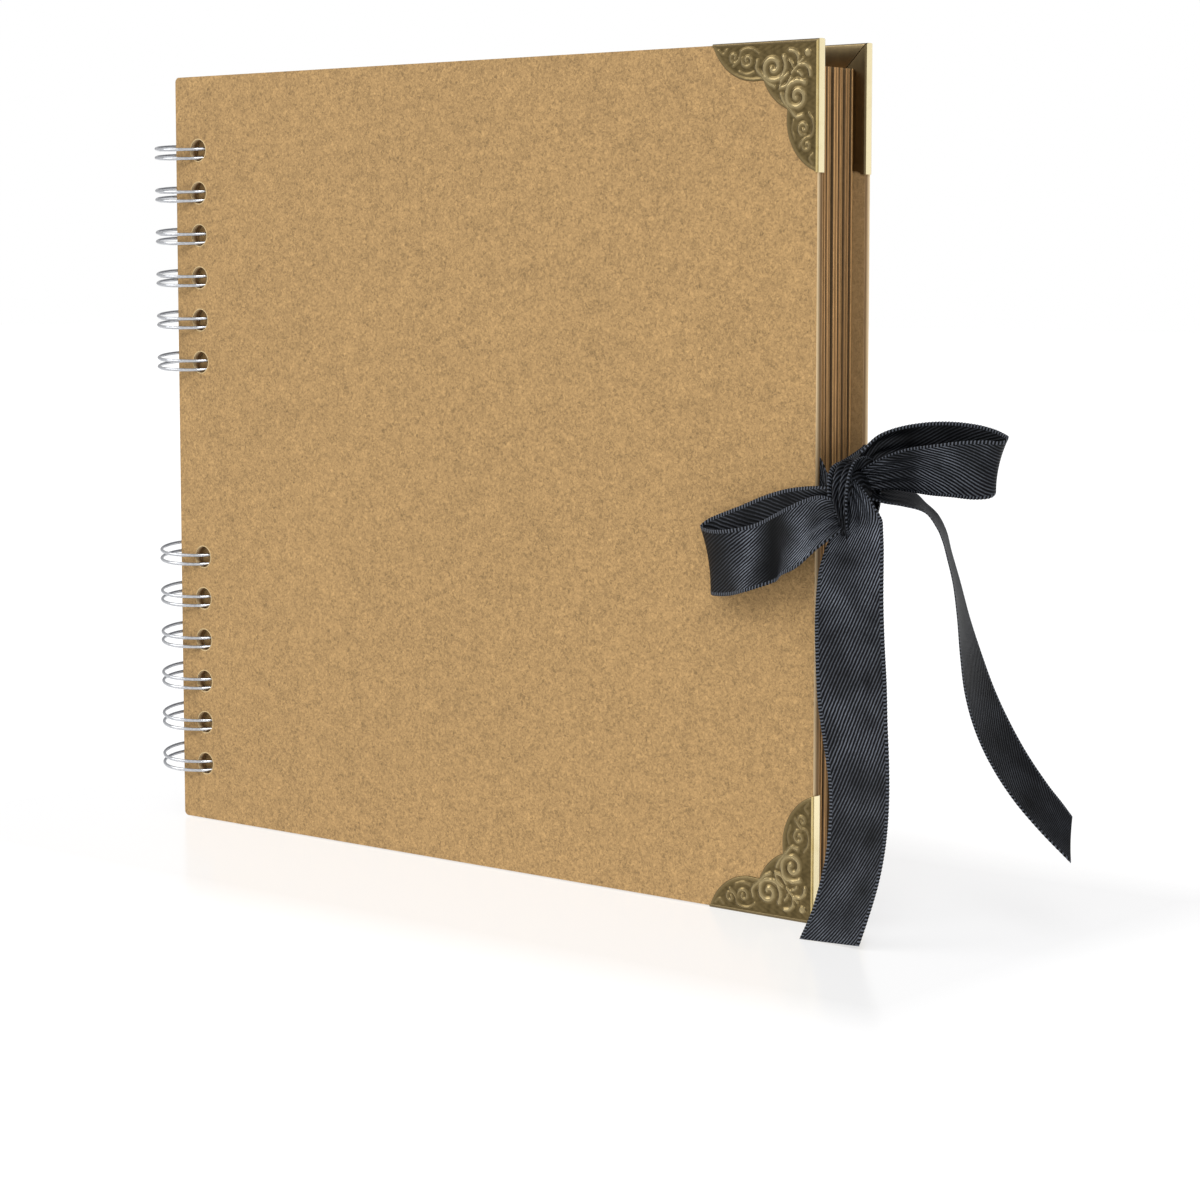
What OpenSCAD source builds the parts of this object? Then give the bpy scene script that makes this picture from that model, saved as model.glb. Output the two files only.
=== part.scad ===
// Scrapbook album: two laminated kraft covers and a block of kraft leaves on two twin-loop wires,
// brass corner caps on the fore-edge corners, and a ribbon tied in a bow at the fore-edge.
// The origin is on the bottom edge of the back cover, at the middle of its width and thickness.
// +X runs from the spine edge to the fore-edge, +Y out of the back cover, +Z up as the album stands.

/* [Covers] */
// Width of a cover, from its spine edge to its fore-edge
cover_w = 236; // [220:1:260]
// Height of a cover
cover_h = 225; // [215:1:260]
// Thickness of a cover's core board
core_t = 2; // [1.6:0.1:3]
// Thickness of the kraft sheet on each face of a cover
sheet_t = 0.2; // [0.1:0.05:0.4]
// Radius of the two rounded corners at the spine edge
cover_corner_r = 1.5; // [1:0.5:5]

/* [Leaves] */
// Thickness of a leaf
leaf_t = 0.36; // [0.3:0.02:0.42]
// Air between two leaves
leaf_air = 0.08; // [0.04:0.01:0.14]
// Air between the block of leaves and each cover
block_air = 0.6; // [0.6:0.1:1.5]
// How far the leaves stand back from the covers at the fore-edge
leaf_fore_inset = 3.5; // [3:0.5:12]
// How far the leaves stand back from the covers at the top and bottom
leaf_end_inset = 6; // [3:0.5:12]
// How far the leaves stand back from the covers at the spine
leaf_spine_inset = 3.1; // [2.8:0.1:3.4]

/* [Binding] */
// Distance between two holes along the spine
hole_pitch = 12.7; // [12.7]
// Diameter of a hole
hole_d = 6.4; // [6.2:0.1:7]
// Distance from an edge at the spine to the centres of its holes
hole_margin = 9.6; // [9.4:0.1:9.8]
// Height of the lowest hole of the lower group above the covers' bottom edge
lower_group_z = 17; // [12:0.5:20]
// Height of the lowest hole of the upper group above the covers' bottom edge
upper_group_z = 139.6; // [130:0.2:145]
// Diameter of the wire
wire_d = 1.1; // [0.8:0.1:1.1]
// Radius of a loop, to the middle of the wire
loop_r = 14.5; // [14.3:0.1:14.7]
// Distance between the two wires of a twin loop
twin_gap = 2.7; // [2.4:0.1:2.8]
// Lean of each loop, higher at the back
loop_lean = 2; // [0:0.5:2]

/* [Corner caps] */
// Length of a cap along each edge
cap_leg = 33; // [32:0.5:34]
// Thickness of the cap's sheet brass
cap_t = 0.4; // [0.3:0.05:0.5]
// Width of the two flaps folded onto the inner face
flap_w = 7.5; // [5:0.5:9]
// Width of the mitred seam between the two flaps
flap_seam = 0.3; // [0.2:0.1:0.6]

/* [Ribbon] */
// Width of the ribbon
ribbon_w = 19; // [15:1:22]
// Thickness of the ribbon where it is glued into a cover
ribbon_t = 0.3; // [0.2:0.05:0.4]
// Length of ribbon glued into each cover
ribbon_anchor = 14; // [8:1:30]

/* [Hidden] */
$fn = 48;
leaf_count = 40;
loops_per_wire = 6;
cover_t = core_t + 2 * sheet_t;
leaf_pitch = leaf_t + leaf_air;
block_t = leaf_count * leaf_pitch - leaf_air;
mid_y = -cover_t / 2 - block_air - block_t / 2;
front_y = 2 * mid_y - cover_t / 2;
spine_x = -cover_w / 2;
fore_x = cover_w / 2;
wire_x = spine_x - 0.3;
hole_z = [for (g = [lower_group_z, upper_group_z], i = [0 : loops_per_wire - 1]) g + i * hole_pitch];

// Ends of each loop, as angles about the wire's axis: the straight base and the round tip meet behind the spine
base_angle = 95;
tip_angle = 83;
joint_d = wire_d * 1.1;
base_tail = 2.5;

// Cap outline: one disc on each leg and one across the diagonal
lobe_r = 14;
lobe_along = 19.7;
lobe_drop = 4.4;
heart_r = 12.7;
heart_at = 5;
flap_chamfer = 2;

// Ribbon pocket and bow
pocket_t = ribbon_t + 0.1;
pocket_slack = 0.3;
bow_z = cover_h / 2;
bow_t = 0.6;
knot_low = [fore_x + 7.5, -30, bow_z - 11];
knot_high = [fore_x + 15.5, -14, bow_z + 7];
knot_r = 3;
// Stations of a lead: [x, y, z, height]. Stations of a tail: [x, y, z, width, turn of the width about Z]
front_lead_route = [[fore_x, front_y + cover_t - sheet_t - pocket_t / 2, bow_z, 19],
                    [fore_x + 1.5, -20.3, bow_z, 12],
                    [fore_x + 5, -22.5, bow_z - 0.5, 7]];
back_lead_route = [[fore_x, -core_t / 2 + pocket_t / 2, bow_z, 19],
                   [fore_x + 1.6, -2.2, bow_z + 0.3, 18.6],
                   [fore_x + 2.4, -10, bow_z + 1, 13],
                   [fore_x + 3, -18.6, bow_z + 1, 9]];
left_tail_route = [[134, -27, bow_z - 11.5, 11, 12],
                   [133.6, -27.6, 97, 14.4, 14],
                   [131.7, -26.8, 84, 18, 12],
                   [132, -26.5, 62, 19, 12],
                   [134.6, -27.2, 46, 19, 3],
                   [137, -29.5, 30, 19, 0],
                   [137, -33.5, 14, 19, 0],
                   [134, -38, 0.4, 18, 0]];
right_tail_route = [[134, -16.5, 109.5, 8, 90],
                    [136.5, -13.5, 109.9, 14, 108],
                    [141, -11.5, 109.6, 18, 118],
                    [146.5, -11, 106, 18, 120],
                    [150.8, -11, 98, 18, 118],
                    [156.5, -11, 76, 18, 108],
                    [160.5, -11, 63, 18, 99],
                    [168.7, -11, 47, 18, 92],
                    [175, -11, 39.5, 18, 92],
                    [187, -11, 28.5, 17, 110]];

function two_digits(i) = i < 10 ? str("0", i) : str(i);
function leaf_name(i) = str("leaf_", two_digits(i));

// A row of holes through everything between y and y + depth, centred on the line x
module binding_holes(x, y, depth) {
    for (z = hole_z)
        translate([x, y - 1, z])
            rotate([-90, 0, 0])
                cylinder(d = hole_d, h = depth + 2);
}

// One layer of a cover, from y to y + t, with its corners rounded at the spine
module cover_layer(y, t) {
    difference() {
        translate([spine_x, y + t, 0])
            rotate([90, 0, 0])
                linear_extrude(t)
                    difference() {
                        square([cover_w, cover_h]);
                        spine_corner_waste();
                        translate([0, cover_h])
                            mirror([0, 1])
                                spine_corner_waste();
                    }
        binding_holes(spine_x + hole_margin, y, t);
    }
}

module spine_corner_waste() {
    difference() {
        translate([-1, -1])
            square(cover_corner_r + 1);
        translate([cover_corner_r, cover_corner_r])
            circle(cover_corner_r);
    }
}

// Core board of the front cover, with the pocket for the ribbon on its inner face
module cover_core() {
    color([0.62, 0.48, 0.30])
        difference() {
            cover_layer(front_y + sheet_t, core_t);
            translate([fore_x - ribbon_anchor - pocket_slack, front_y + sheet_t + core_t - pocket_t,
                       bow_z - ribbon_w / 2 - pocket_slack])
                cube([ribbon_anchor + pocket_slack + 1, pocket_t + 1, ribbon_w + 2 * pocket_slack]);
        }
}

module cover_facing() {
    color([0.72, 0.56, 0.34])
        cover_layer(front_y, sheet_t);
}

module cover_lining() {
    color([0.74, 0.58, 0.37])
        cover_layer(front_y + cover_t - sheet_t, sheet_t);
}

// Takes a piece of the front cover to the same place on the back cover
module to_back_cover() {
    translate([0, mid_y, 0])
        mirror([0, 1, 0])
            translate([0, -mid_y, 0])
                children();
}

module leaf(i) {
    y = mid_y - block_t / 2 + (i - 1) * leaf_pitch;
    x = spine_x + leaf_spine_inset;
    color([0.66, 0.49, 0.29])
        difference() {
            translate([x, y, leaf_end_inset])
                cube([cover_w - leaf_spine_inset - leaf_fore_inset, leaf_t, cover_h - 2 * leaf_end_inset]);
            binding_holes(x + hole_margin, y, leaf_t);
        }
}

// Outline of the cap's decorated plate, with its corner at the origin
module cap_outline() {
    intersection() {
        union() {
            translate([lobe_along, -lobe_drop])
                circle(lobe_r);
            translate([-lobe_drop, lobe_along])
                circle(lobe_r);
            translate([heart_at, heart_at])
                circle(heart_r);
        }
        translate([-cap_t, -cap_t])
            square(cap_leg + cap_t);
    }
}

// One folded flap of the cap, along X, with a mitred end at the corner
module cap_flap() {
    polygon([[flap_seam - cap_t, -cap_t], [cap_leg - 1, -cap_t], [cap_leg - 1, flap_w - flap_chamfer],
             [cap_leg - 1 - flap_chamfer, flap_w], [flap_w + flap_seam, flap_w]]);
}

// A cap in its own frame: X and Z run from the corner along the two edges, Y through the cover
module corner_cap() {
    color([0.66, 0.54, 0.22]) {
        rotate([90, 0, 0])
            linear_extrude(cap_t)
                cap_outline();
        translate([-cap_t, -cap_t, -cap_t])
            cube([cap_t, cover_t + 2 * cap_t, cap_leg + cap_t]);
        translate([-cap_t, -cap_t, -cap_t])
            cube([cap_leg + cap_t, cover_t + 2 * cap_t, cap_t]);
        translate([0, cover_t + cap_t, 0])
            rotate([90, 0, 0])
                linear_extrude(cap_t) {
                    cap_flap();
                    mirror([1, -1])
                        cap_flap();
                }
    }
}

module bottom_cap() {
    translate([fore_x, front_y, 0])
        mirror([1, 0, 0])
            corner_cap();
}

module top_cap() {
    translate([0, 0, cover_h])
        mirror([0, 0, 1])
            bottom_cap();
}

// One twin loop: two legs round the axis, joined by a round tip
module twin_loop() {
    for (side = [-1, 1])
        translate([0, 0, side * twin_gap / 2])
            rotate([0, 0, base_angle])
                rotate_extrude(angle = 360 + tip_angle - base_angle)
                    translate([loop_r, 0])
                        circle(d = wire_d);
    rotate([0, 0, tip_angle])
        translate([loop_r, 0, 0])
            rotate([0, 90, 0])
                rotate_extrude(angle = 180)
                    translate([twin_gap / 2, 0])
                        circle(d = wire_d);
    for (side = [-1, 1])
        rotate([0, 0, tip_angle])
            translate([loop_r, 0, side * twin_gap / 2])
                sphere(d = joint_d);
}

// A straight length of wire up from z, with a rounded joint at each end
module wire_base(z, length) {
    translate([loop_r * cos(base_angle), loop_r * sin(base_angle) * cos(loop_lean),
               z + loop_r * sin(base_angle) * sin(loop_lean)]) {
        cylinder(d = wire_d, h = length);
        for (end = [0, length])
            translate([0, 0, end])
                sphere(d = joint_d);
    }
}

// A comb of twin loops whose lowest loop is at height z
module twin_wire(z) {
    color([0.75, 0.76, 0.78])
        translate([wire_x, mid_y, z]) {
            for (i = [0 : loops_per_wire - 1])
                translate([0, 0, i * hole_pitch])
                    rotate([loop_lean, 0, 0])
                        twin_loop();
            for (i = [0 : loops_per_wire - 2])
                wire_base(i * hole_pitch + twin_gap / 2, hole_pitch - twin_gap);
            wire_base(-twin_gap / 2 - base_tail, base_tail);
            wire_base((loops_per_wire - 1) * hole_pitch + twin_gap / 2, base_tail);
        }
}

// A thin strip through its stations
module strip(route) {
    for (i = [0 : len(route) - 2])
        hull() {
            strip_station(route[i]);
            strip_station(route[i + 1]);
        }
}

module strip_station(s) {
    translate([s[0], s[1], s[2]])
        rotate([0, 0, s[4]])
            cube([s[3], bow_t, bow_t], center = true);
}

// A lead: glued in its pocket, then out to the knot with its width upright
module lead_outside(route) {
    for (i = [0 : len(route) - 2])
        hull() {
            lead_station(route[i]);
            lead_station(route[i + 1]);
        }
}

module lead_station(s) {
    translate([s[0], s[1], s[2]])
        cube([ribbon_t, ribbon_t, s[3]], center = true);
}

module lead_anchor() {
    translate([fore_x - ribbon_anchor, front_y + cover_t - sheet_t - pocket_t / 2 - ribbon_t / 2,
               bow_z - ribbon_w / 2])
        cube([ribbon_anchor, ribbon_t, ribbon_w]);
}

module front_ribbon_lead() {
    color([0.07, 0.07, 0.08]) {
        lead_anchor();
        lead_outside(front_lead_route);
    }
}

module back_ribbon_lead() {
    color([0.07, 0.07, 0.08]) {
        to_back_cover()
            lead_anchor();
        lead_outside(back_lead_route);
    }
}

module bow_knot() {
    color([0.06, 0.06, 0.07])
        hull()
            for (x = [knot_low[0] + knot_r, knot_high[0] - knot_r],
                 y = [knot_low[1] + knot_r, knot_high[1] - knot_r],
                 z = [knot_low[2] + knot_r, knot_high[2] - knot_r])
                translate([x, y, z])
                    sphere(knot_r, $fn = 16);
}

// A flattened loop of ribbon along X from its narrow end at the origin, its width along Z
module ribbon_loop(length, bulge) {
    translate([0, 0, -ribbon_w / 2])
        linear_extrude(ribbon_w)
            difference() {
                loop_outline(length, bulge, 0);
                loop_outline(length, bulge, bow_t);
            }
}

module loop_outline(length, bulge, inset) {
    hull() {
        translate([1.2, 0])
            circle(1.2 - inset, $fn = 24);
        translate([length * 0.6, 0])
            circle(bulge - inset, $fn = 32);
        translate([length - 2.5, 0])
            circle(2.5 - inset, $fn = 24);
    }
}

module bow_left_loop() {
    color([0.08, 0.08, 0.09])
        translate([fore_x + 4.4, -29, bow_z - 8.5])
            rotate([0, -17, 0])
                mirror([1, 0, 0])
                    ribbon_loop(36.5, 5);
}

module bow_right_loop() {
    color([0.08, 0.08, 0.09])
        translate([fore_x + 15.8, -13, bow_z + 8])
            ribbon_loop(36.6, 6);
}

module bow_left_tail() {
    color([0.09, 0.09, 0.10])
        strip(left_tail_route);
}

module bow_right_tail() {
    color([0.09, 0.09, 0.10])
        strip(right_tail_route);
}

for (i = [1 : leaf_count])
    leaf(i);
cover_core();  // front_cover_core
cover_facing();  // front_cover_facing
cover_lining();  // front_cover_lining
to_back_cover() cover_core();  // back_cover_core
to_back_cover() cover_facing();  // back_cover_facing
to_back_cover() cover_lining();  // back_cover_lining
top_cap();  // front_top_corner
bottom_cap();  // front_bottom_corner
to_back_cover() top_cap();  // back_top_corner
to_back_cover() bottom_cap();  // back_bottom_corner
twin_wire(upper_group_z);  // upper_twin_wire
twin_wire(lower_group_z);  // lower_twin_wire
front_ribbon_lead();
back_ribbon_lead();
bow_knot();
bow_left_loop();
bow_right_loop();
bow_left_tail();
bow_right_tail();
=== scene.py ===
"""Looks of the scrapbook album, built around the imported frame. Shapes are worked out in millimetres and
turned into metres when a mesh is made."""
import math

import bmesh
import bpy
import numpy as np
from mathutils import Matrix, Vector


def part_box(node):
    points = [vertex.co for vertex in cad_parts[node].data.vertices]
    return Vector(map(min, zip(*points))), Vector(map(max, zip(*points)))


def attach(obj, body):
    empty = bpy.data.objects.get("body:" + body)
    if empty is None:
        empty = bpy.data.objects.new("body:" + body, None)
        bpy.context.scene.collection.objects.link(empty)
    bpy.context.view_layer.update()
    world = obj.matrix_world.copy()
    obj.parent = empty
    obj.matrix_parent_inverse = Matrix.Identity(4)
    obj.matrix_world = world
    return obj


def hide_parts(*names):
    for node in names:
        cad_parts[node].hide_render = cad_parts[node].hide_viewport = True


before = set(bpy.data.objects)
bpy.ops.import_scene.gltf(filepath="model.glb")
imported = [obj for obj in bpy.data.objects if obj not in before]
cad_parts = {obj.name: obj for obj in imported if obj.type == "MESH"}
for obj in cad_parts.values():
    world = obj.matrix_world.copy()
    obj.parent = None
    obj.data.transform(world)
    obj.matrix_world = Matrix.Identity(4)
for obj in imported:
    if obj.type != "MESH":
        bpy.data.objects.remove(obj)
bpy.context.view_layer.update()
scene = bpy.context.scene
MM = 0.001

# ------------------------------------------------------------------ sizes in millimetres


def box_mm(node):
    low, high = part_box(node)
    return np.array(low) / MM, np.array(high) / MM


front_low, front_high = box_mm("front_cover_facing")
back_high = box_mm("back_cover_facing")[1]
lining_high = box_mm("front_cover_lining")[1]
SPINE_X, FORE_X = front_low[0], front_high[0]
COVER_H = front_high[2]
FRONT_Y = front_low[1]
BACK_Y = back_high[1]
MID_Y = (FRONT_Y + BACK_Y) / 2
COVER_T = lining_high[1] - FRONT_Y
LEAF_NAMES = sorted(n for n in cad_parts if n.startswith("leaf_"))
WIRE_X = SPINE_X - 0.3
HOLE_X = SPINE_X + 9.6
HOLE_PITCH = 12.7
HOLE_R = 3.2
HOLES = 6
# The wires, each with the height of its lowest hole
GROUPS = {"lower_twin_wire": 17.0, "upper_twin_wire": 139.6}
RIBBON_W = 19.0


# ------------------------------------------------------------------ materials


class Nodes:
    """Short calls for building a node tree."""

    def __init__(self, name):
        self.material = bpy.data.materials.new(name)
        self.material.use_nodes = True
        self.tree = self.material.node_tree
        self.tree.nodes.clear()
        self.out = self.add("ShaderNodeOutputMaterial")
        self.shader = self.add("ShaderNodeBsdfPrincipled")
        self.link(self.shader.outputs[0], self.out.inputs["Surface"])
        self.coords = self.add("ShaderNodeTexCoord")
        self.place = self.coords.outputs["Object"]

    def add(self, kind):
        return self.tree.nodes.new(kind)

    def link(self, a, b):
        self.tree.links.new(a, b)

    def put(self, socket, value):
        if isinstance(value, bpy.types.NodeSocket):
            self.link(value, socket)
        else:
            socket.default_value = value

    def math(self, op, a, b=0.0, clamp=False):
        n = self.add("ShaderNodeMath")
        n.operation, n.use_clamp = op, clamp
        self.put(n.inputs[0], a)
        self.put(n.inputs[1], b)
        return n.outputs[0]

    def noise(self, size_mm, detail=2.0, roughness=0.5, distortion=0.0, vector=None):
        n = self.add("ShaderNodeTexNoise")
        n.inputs["Scale"].default_value = 1000.0 / size_mm
        n.inputs["Detail"].default_value = detail
        n.inputs["Roughness"].default_value = roughness
        n.inputs["Distortion"].default_value = distortion
        self.link(vector or self.place, n.inputs["Vector"])
        return n.outputs["Fac"]

    def stretched(self, factors):
        n = self.add("ShaderNodeMapping")
        n.inputs["Scale"].default_value = factors
        self.link(self.place, n.inputs["Vector"])
        return n.outputs[0]

    def split(self, vector):
        n = self.add("ShaderNodeSeparateXYZ")
        self.link(vector, n.inputs[0])
        return n.outputs

    def attribute(self, name, kind="Fac"):
        n = self.add("ShaderNodeAttribute")
        n.attribute_name = name
        return n.outputs[kind]

    def ramp(self, value, stops):
        n = self.add("ShaderNodeValToRGB")
        while len(n.color_ramp.elements) < len(stops):
            n.color_ramp.elements.new(0.5)
        for element, (at, colour) in zip(n.color_ramp.elements, stops):
            element.position = at
            element.color = (*colour, 1) if len(colour) == 3 else colour
        self.link(value, n.inputs[0])
        return n.outputs[0]

    def mix(self, factor, a, b):
        n = self.add("ShaderNodeMix")
        n.data_type = "RGBA"
        self.put(n.inputs[0], factor)
        for socket, value in ((n.inputs[6], a), (n.inputs[7], b)):
            self.put(socket, (*value, 1) if isinstance(value, tuple) and len(value) == 3 else value)
        return n.outputs[2]

    def scaled(self, colour, factor):
        """The colour times a number that varies over the surface."""
        n = self.add("ShaderNodeVectorMath")
        n.operation = "SCALE"
        self.put(n.inputs[0], colour)
        self.put(n.inputs["Scale"], factor)
        return n.outputs[0]

    def bump(self, height, distance_mm, strength=1.0):
        n = self.add("ShaderNodeBump")
        n.inputs["Distance"].default_value = distance_mm * MM
        n.inputs["Strength"].default_value = strength
        self.link(height, n.inputs["Height"])
        self.link(n.outputs[0], self.shader.inputs["Normal"])

    def set(self, **values):
        for name, value in values.items():
            self.put(self.shader.inputs[name.replace("_", " ")], value)
        return self.material


def centred(m, value, amount):
    """amount * (value - 0.5)"""
    return m.math("MULTIPLY", m.math("SUBTRACT", value, 0.5), amount)


def kraft(name, base, grain, mottle, edge_shade=None, fibres=0.10, tone=None, layered=None):
    """Kraft paper or board: grain, soft mottling and fibres. edge_shade is the colour of its cut edges, tone
    the attribute that holds a leaf's random tone and the shade and light painted on its edge, and layered the
    (depth, thickness, colour) of a skin on it."""
    m = Nodes(name)
    fine = m.noise(0.80, 3.0, 0.62, 1.0)
    coarse = m.noise(2.6, 2.0, 0.5, 0.6)
    cloud = m.noise(13, 2.0, 0.5)
    wide = m.noise(70, 1.0)
    shade = m.math("ADD", 1.0, centred(m, fine, grain))
    shade = m.math("ADD", shade, centred(m, coarse, grain * 0.28))
    shade = m.math("ADD", shade, centred(m, cloud, mottle))
    shade = m.math("ADD", shade, centred(m, wide, mottle * 0.9))
    if tone:
        # The painted shade and light of a leaf's edge carries on over the last millimetres of its face
        x = m.math("MULTIPLY", m.split(m.place)[0], 1000.0)
        rim = m.math("MULTIPLY", m.math("SUBTRACT", x, FORE_X - 7.5), 0.4, clamp=True)
        painted_rim_light = m.math("MULTIPLY", rim, m.math("SUBTRACT", m.attribute(tone), 1.0))
        shade = m.math("MULTIPLY", shade, m.math("ADD", 1.0, painted_rim_light))
    fibre = m.noise(1.1, 3.0, 0.6, 2.5, m.stretched((0.35, 1.0, 1.0)))
    fleck = m.ramp(fibre, [(0.30, (1, 1, 1)), (0.36, (0, 0, 0)), (0.70, (0, 0, 0)), (0.78, (0.6, 0.6, 0.6))])
    colour = m.scaled(base, shade)
    colour = m.mix(m.math("MULTIPLY", fleck, fibres), colour, (0.20, 0.115, 0.048))
    if edge_shade:
        n = m.split(m.coords.outputs["Normal"])
        side = m.math("SUBTRACT", 1.0, m.math("POWER", m.math("ABSOLUTE", n[1]), 0.5), clamp=True)
        streak = m.noise(0.8, 3.0, 0.65, 0.0, m.stretched((1.0, 1.6, 0.12)))
        edge = m.scaled(edge_shade, m.math("ADD", m.math("MULTIPLY", streak, 1.1), 0.45))
        if layered:
            y = m.math("MULTIPLY", m.split(m.place)[1], 1000.0)
            near = m.math("MULTIPLY", m.math("ABSOLUTE", m.math("SUBTRACT", y, layered[0])), 1 / layered[1])
            edge = m.mix(m.math("SUBTRACT", 1.0, near, clamp=True), edge, layered[2])
        # A leaf's cut edge is multiplied by its tone, which paints shade and light on it
        if tone:
            edge = m.scaled(edge, m.attribute(tone))
        colour = m.mix(side, colour, edge)
    m.bump(m.math("ADD", m.math("MULTIPLY", fine, 0.6), m.math("MULTIPLY", coarse, 0.4)), 0.10, 0.55)
    return m.set(Base_Color=colour, Roughness=0.82, Specular_IOR_Level=0.32)


KRAFT = (0.350, 0.217, 0.088)
CREAM = (0.92, 0.70, 0.42)
EDGE_BROWN = (0.20, 0.115, 0.046)
cover_paper = kraft("kraft_cover", KRAFT, 1.95, 0.09, (0.84, 0.64, 0.37))
# The lining is a darker paper: painted shade inside the covers
lining_paper_painted_shade = kraft("kraft_lining_painted_shade", (0.285, 0.178, 0.075), 1.2, 0.10, (0.32, 0.20, 0.09))
BOARD = (0.30, 0.19, 0.085)
front_board = kraft("kraft_board_front", BOARD, 0.5, 0.1, EDGE_BROWN, layered=(FRONT_Y, 1.5, CREAM))
back_board = kraft("kraft_board_back", BOARD, 0.5, 0.1, EDGE_BROWN, layered=(BACK_Y, 1.5, CREAM))
leaf_paper = kraft("kraft_leaf", (0.38, 0.245, 0.105), 1.2, 0.12, (0.37, 0.205, 0.080), 0.12, "tone")
# A paler paper for the hole lips, a painted highlight of their punched bevels
rim_paper_painted_highlight = kraft("kraft_rim_painted_highlight", (0.52, 0.385, 0.20), 0.6, 0.1)


def brass(name, plate):
    """Stamped brass. The attribute relief is 0 in the hollows and 1 on the ridges; on a fold it holds painted
    light and shade instead.
    """
    m = Nodes(name)
    relief = m.attribute("relief")
    stain = m.noise(4.5, 4.0, 0.62, 0.6)
    scratch = m.noise(1.2, 2.0, 0.5, 0.2, m.stretched((1.0, 1.0, 0.15)))
    value = m.math("ADD", relief, centred(m, stain, 0.22))
    value = m.math("ADD", value, centred(m, scratch, 0.10), clamp=True)
    if plate:
        colour = m.ramp(value, [(0.02, (0.050, 0.036, 0.014)), (0.22, (0.140, 0.102, 0.044)),
                                (0.70, (0.185, 0.138, 0.064)), (0.98, (0.30, 0.235, 0.120))])
        rough = m.math("SUBTRACT", 0.36, m.math("MULTIPLY", value, 0.12))
    else:
        # On a fold the ramp turns painted light and shade into dark flaps and a bright cream highlight on the
        # edge
        colour = m.ramp(value, [(0.0, (0.10, 0.075, 0.036)), (0.25, (0.20, 0.150, 0.078)),
                                (0.62, (0.52, 0.39, 0.15)), (1.0, (0.92, 0.80, 0.50))])
        rough = m.math("SUBTRACT", 0.36, m.math("MULTIPLY", value, 0.14))
    m.bump(m.math("ADD", stain, m.math("MULTIPLY", scratch, 0.5)), 0.05, 0.35)
    return m.set(Base_Color=colour, Roughness=rough, Metallic=1.0)


plate_brass = brass("antique_brass_plate", True)
fold_brass = brass("antique_brass_fold", False)


def wire_metal():
    m = Nodes("bright_wire")
    scuff = m.noise(0.9, 3.0, 0.6, 0.0, m.stretched((1.0, 1.0, 3.0)))
    colour = m.ramp(scuff, [(0.25, (0.34, 0.35, 0.37)), (0.6, (0.52, 0.53, 0.55)), (0.9, (0.74, 0.74, 0.76))])
    rough = m.math("ADD", 0.10, m.math("MULTIPLY", scuff, 0.12))
    m.bump(scuff, 0.02, 0.25)
    return m.set(Base_Color=colour, Roughness=rough, Metallic=1.0)


bright_wire = wire_metal()


def satin():
    """Twill satin. The attribute weave holds a point's distance along and across the ribbon, in millimetres,
    and how strongly a sheen is painted into the cloth's colour there."""
    cord_pitch, thread_pitch, stitch_pitch, selvage_w = 0.92, 0.40, 0.9, 0.85
    m = Nodes("black_satin")
    weave = m.split(m.attribute("weave", "Vector"))
    along, across, painted_sheen = weave[0], weave[1], weave[2]
    wobble = centred(m, m.noise(2.0, 2.0), 0.30)
    diagonal = m.math("SUBTRACT", m.math("MULTIPLY", across, 0.87), m.math("MULTIPLY", along, 0.50))
    cord = m.math("SINE", m.math("MULTIPLY", m.math("ADD", diagonal, wobble), 2 * math.pi / cord_pitch))
    cord = m.math("MULTIPLY", m.math("ADD", cord, 1.0), 0.5)
    ridge = m.math("POWER", cord, 3.0)
    thread = m.math("SINE", m.math("MULTIPLY", along, 2 * math.pi / thread_pitch))
    thread = m.math("MULTIPLY", m.math("ADD", thread, 1.0), 0.5)
    # The woven edge: a band of stitches along each side
    half = m.math("ABSOLUTE", m.math("SUBTRACT", across, RIBBON_W / 2))
    selvage = m.math("GREATER_THAN", half, RIBBON_W / 2 - selvage_w)
    stitch = m.math("SINE", m.math("MULTIPLY", along, 2 * math.pi / stitch_pitch))
    stitch = m.math("GREATER_THAN", stitch, 0.25)
    # Small specks: dust and painted glints
    dust_and_glint = m.noise(0.45, 2.0, 0.7)
    # Wide patches of painted sheen
    sheen_patch = m.math("MAXIMUM", m.math("ADD", 1.0, centred(m, m.noise(9.0, 2.0), 3.2)), 0.1)
    body = m.math("ADD", m.math("MULTIPLY", cord, 0.8), m.math("MULTIPLY", thread, 0.2))
    height = m.mix(selvage, body, stitch)
    # The twill's cords are brightened by the painted sheen of the station and patch
    painted_gleam = m.math("MULTIPLY", m.math("MULTIPLY", painted_sheen, sheen_patch), 8.5)
    tone = m.math("ADD", 0.12, m.math("MULTIPLY", ridge, painted_gleam))
    tone = m.math("MULTIPLY", tone, m.math("ADD", 1.0, centred(m, dust_and_glint, 1.8)))
    edge_tone = m.math("ADD", 0.15, m.math("MULTIPLY", stitch, 5.0))
    inside = m.math("MULTIPLY", tone, m.math("SUBTRACT", 1.0, selvage))
    tone = m.math("ADD", inside, m.math("MULTIPLY", edge_tone, selvage))
    colour = m.scaled((0.0180, 0.0198, 0.0235), tone)
    m.bump(height, 0.10, 0.8)
    rough = m.math("SUBTRACT", 0.56, m.math("MULTIPLY", cord, 0.14))
    return m.set(Base_Color=colour, Roughness=rough, Specular_IOR_Level=0.08)


black_satin = satin()


# ------------------------------------------------------------------ mesh helpers


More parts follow.
